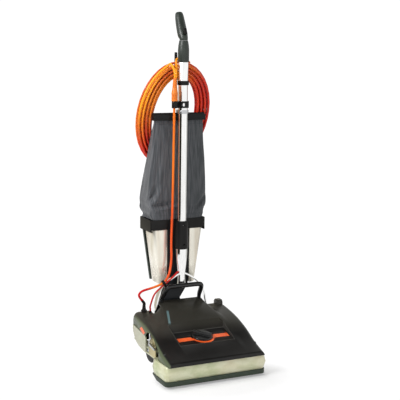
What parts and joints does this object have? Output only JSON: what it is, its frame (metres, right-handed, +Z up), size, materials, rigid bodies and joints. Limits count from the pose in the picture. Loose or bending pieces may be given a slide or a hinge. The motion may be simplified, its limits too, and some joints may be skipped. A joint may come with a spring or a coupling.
{
  "type": "upright vacuum cleaner",
  "caption": "Commercial upright vacuum cleaner with a low powered nozzle base, tilting tube handle, cloth bag over a slide-out dust cup, and a long orange cord coiled on the handle.",
  "frame": {"origin": "on the floor, in the middle of the whole object from side to side and from front to back", "axes": "+X to the right of a person standing in front of the nozzle, +Y from the nozzle to the handle side, +Z up"},
  "size_m": [0.364, 0.4137, 1.1644],
  "materials": {
    "hood_plastic": "moulded hood, near black, satin gloss",
    "black_plastic": "moulded black plastic",
    "silver_paint": "silver painted casting",
    "cup_silver": "silver finished panel",
    "chrome": "polished chrome plate",
    "steel": "plain steel",
    "zinc": "yellow passivated zinc plate",
    "roll_alu": "turned aluminium",
    "rubber": "soft bumper and seal rubber",
    "wheel_rubber": "moulded wheel tread",
    "bristle": "nylon tufts",
    "cord_orange": "orange cord jacket",
    "cord_red": "red lead jacket",
    "brass": "plug pins",
    "bag_cloth": "woven slate grey cloth",
    "rocker": "switch rocker"
  },
  "bodies": {
    "base": {"base_housing": "silver_paint", "bottom_plate": "steel", "bumper": "rubber", "hood": "hood_plastic", "hood_screws": "steel", "carry_handle": "black_plastic", "dial_bush": "black_plastic", "rear_axle": "steel", "motor_housing": "steel", "motor_field": "steel", "motor_bearings": "steel", "fan_housing": "black_plastic", "intake_duct": "black_plastic", "exhaust_elbow": "black_plastic", "drive_belt": "rubber", "brush_caps": "black_plastic", "pivot_brackets": "steel", "pivot_pins": "steel", "release_bracket": "zinc", "cord_gland": "black_plastic"},
    "height_dial_body": {"height_dial": "black_plastic"},
    "carriage": {"front_carriage": "steel", "front_axle": "steel"},
    "front_wheel_l": {"front_wheel_left": "wheel_rubber"},
    "front_wheel_r": {"front_wheel_right": "wheel_rubber"},
    "rear_wheel_l": {"rear_wheel_left": "wheel_rubber"},
    "rear_wheel_r": {"rear_wheel_right": "wheel_rubber"},
    "rotor": {"rotor_shaft": "steel", "suction_fan": "roll_alu", "drive_pulley": "steel"},
    "brush": {"brush_roll": "roll_alu", "bristles": "bristle"},
    "release": {"release_lever": "steel"},
    "handle": {"handle_fork": "chrome", "handle_tube": "chrome", "tube_clamp": "black_plastic", "grip_cuff": "black_plastic", "grip": "black_plastic", "cord_hook": "black_plastic", "cord_clip": "black_plastic", "lead_clip": "black_plastic", "air_duct": "black_plastic", "rim_band": "black_plastic", "cup_seal": "rubber", "bag": "bag_cloth", "bag_clip": "black_plastic", "bag_hanger": "steel", "tube_lead": "cord_orange", "lead_loop": "cord_orange", "switch_lead": "cord_red", "cord_rise": "cord_orange", "cord_coil": "cord_orange", "plug_cord": "cord_orange", "cord_plug": "cord_orange", "plug_pins": "brass"},
    "switch": {"switch_rocker": "rocker"},
    "cup": {"dust_cup": "cup_silver", "cup_back": "black_plastic"},
    "latch": {"cup_latch": "steel"}
  },
  "joints": [
    {"name": "handle_tilt", "type": "hinge", "parent": "base", "child": "handle", "pos_m": [0, 0.08125, 0.15], "axis": [-1, 0, 0], "range_deg": [0, 80], "deforming": ["lead_loop", "switch_lead"]},
    {"name": "height_dial_turn", "type": "hinge", "parent": "base", "child": "height_dial_body", "pos_m": [0, -0.08675, 0.1216], "axis": [0, -0.1961, 0.9806], "range_deg": [0, 150]},
    {"name": "carriage_tilt", "type": "hinge", "parent": "base", "child": "carriage", "pos_m": [0, -0.00675, 0.05], "axis": [1, 0, 0], "range_deg": [0, 12]},
    {"name": "front_wheel_l_spin", "type": "hinge", "parent": "carriage", "child": "front_wheel_l", "pos_m": [-0.054, -0.05675, 0.018], "axis": [1, 0, 0], "continuous": true},
    {"name": "front_wheel_r_spin", "type": "hinge", "parent": "carriage", "child": "front_wheel_r", "pos_m": [0.054, -0.05675, 0.018], "axis": [1, 0, 0], "continuous": true},
    {"name": "rear_wheel_l_spin", "type": "hinge", "parent": "base", "child": "rear_wheel_l", "pos_m": [-0.107, 0.06925, 0.038], "axis": [1, 0, 0], "continuous": true},
    {"name": "rear_wheel_r_spin", "type": "hinge", "parent": "base", "child": "rear_wheel_r", "pos_m": [0.107, 0.06925, 0.038], "axis": [1, 0, 0], "continuous": true},
    {"name": "brush_spin", "type": "hinge", "parent": "base", "child": "brush", "pos_m": [0, -0.15675, 0.034], "axis": [1, 0, 0], "continuous": true},
    {"name": "rotor_spin", "type": "hinge", "parent": "base", "child": "rotor", "pos_m": [0, 0.00925, 0.1085], "axis": [1, 0, 0], "continuous": true},
    {"name": "release_press", "type": "hinge", "parent": "base", "child": "release", "pos_m": [-0.169, -0.05675, 0.128], "axis": [1, 0, 0], "range_deg": [0, 5], "stiffness_Nm_per_rad": 2},
    {"name": "switch_rock", "type": "hinge", "parent": "handle", "child": "switch", "pos_m": [0, 0.06975, 1.102], "axis": [1, 0, 0], "range_deg": [0, 12]},
    {"name": "cup_slide", "type": "slide", "parent": "handle", "child": "cup", "axis": [0, 1, 0], "range_m": [0, 0.12]},
    {"name": "latch_swing", "type": "hinge", "parent": "cup", "child": "latch", "pos_m": [0, 0.18075, 0.25], "axis": [-1, 0, 0], "range_deg": [0, 25]}
  ],
  "couplings": [
    {"joint": "height_dial_turn", "follows": "carriage_tilt", "ratio": 12.5},
    {"joint": "rotor_spin", "follows": "brush_spin", "ratio": 1.4167}
  ]
}
